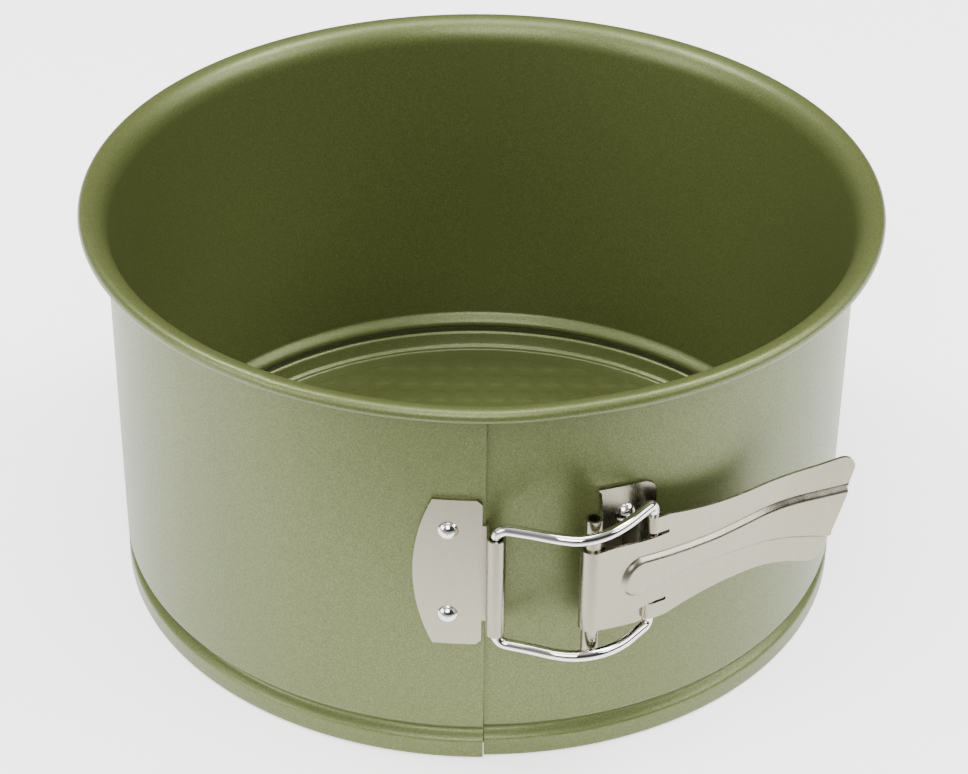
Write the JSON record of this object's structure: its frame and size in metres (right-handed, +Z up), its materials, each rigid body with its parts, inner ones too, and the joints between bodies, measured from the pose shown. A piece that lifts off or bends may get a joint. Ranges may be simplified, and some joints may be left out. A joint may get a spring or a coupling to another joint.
{
  "type": "springform pan",
  "caption": "Deep round springform cake pan with a loose flat base, a lift-off band with a rolled rim and an over-centre latch with a wire bail.",
  "frame": {"origin": "on the pan's axis at its flat underside", "axes": "+Z up along the pan's axis, latch on the -Y side, lever tip towards +X"},
  "size_m": [0.1942, 0.1993, 0.102],
  "materials": {
    "coated_steel": "speckled olive metallic non-stick coating",
    "latch_steel": "satin nickel plate",
    "bright_wire": "bright drawn"
  },
  "bodies": {
    "base": {"base_plate": "coated_steel"},
    "ring": {"band_right": "coated_steel", "bracket": "latch_steel", "bracket_rivet_top": "bright_wire", "bracket_rivet_bottom": "bright_wire"},
    "ring_left": {"band_left": "coated_steel", "keeper_plate": "latch_steel", "keeper_rivet_top": "bright_wire", "keeper_rivet_bottom": "bright_wire"},
    "lever": {"lever": "latch_steel"},
    "bail": {"bail_wire": "bright_wire"}
  },
  "joints": [
    {"name": "ring_lift", "type": "slide", "parent": "base", "child": "ring", "axis": [0, 0, 1], "range_m": [0, 0.12]},
    {"name": "lever_swing", "type": "hinge", "parent": "ring", "child": "lever", "pos_m": [0.025, -0.0963, 0.0552], "axis": [0, 0, -1], "range_deg": [0, 180]},
    {"name": "bail_swing", "type": "hinge", "parent": "lever", "child": "bail", "pos_m": [0.03847, -0.08791, 0.0552], "axis": [0, 0, 1], "range_deg": [0, 150.66]},
    {"name": "ring_spread", "type": "hinge", "parent": "ring", "child": "ring_left", "pos_m": [0, 0.0972, 0.0552], "axis": [0, 0, -1], "range_deg": [0, 7.93]}
  ],
  "couplings": [
    {"joint": "bail_swing", "follows": "lever_swing", "ratio": 0.83701},
    {"joint": "ring_spread", "follows": "lever_swing", "ratio": 0.044026}
  ]
}
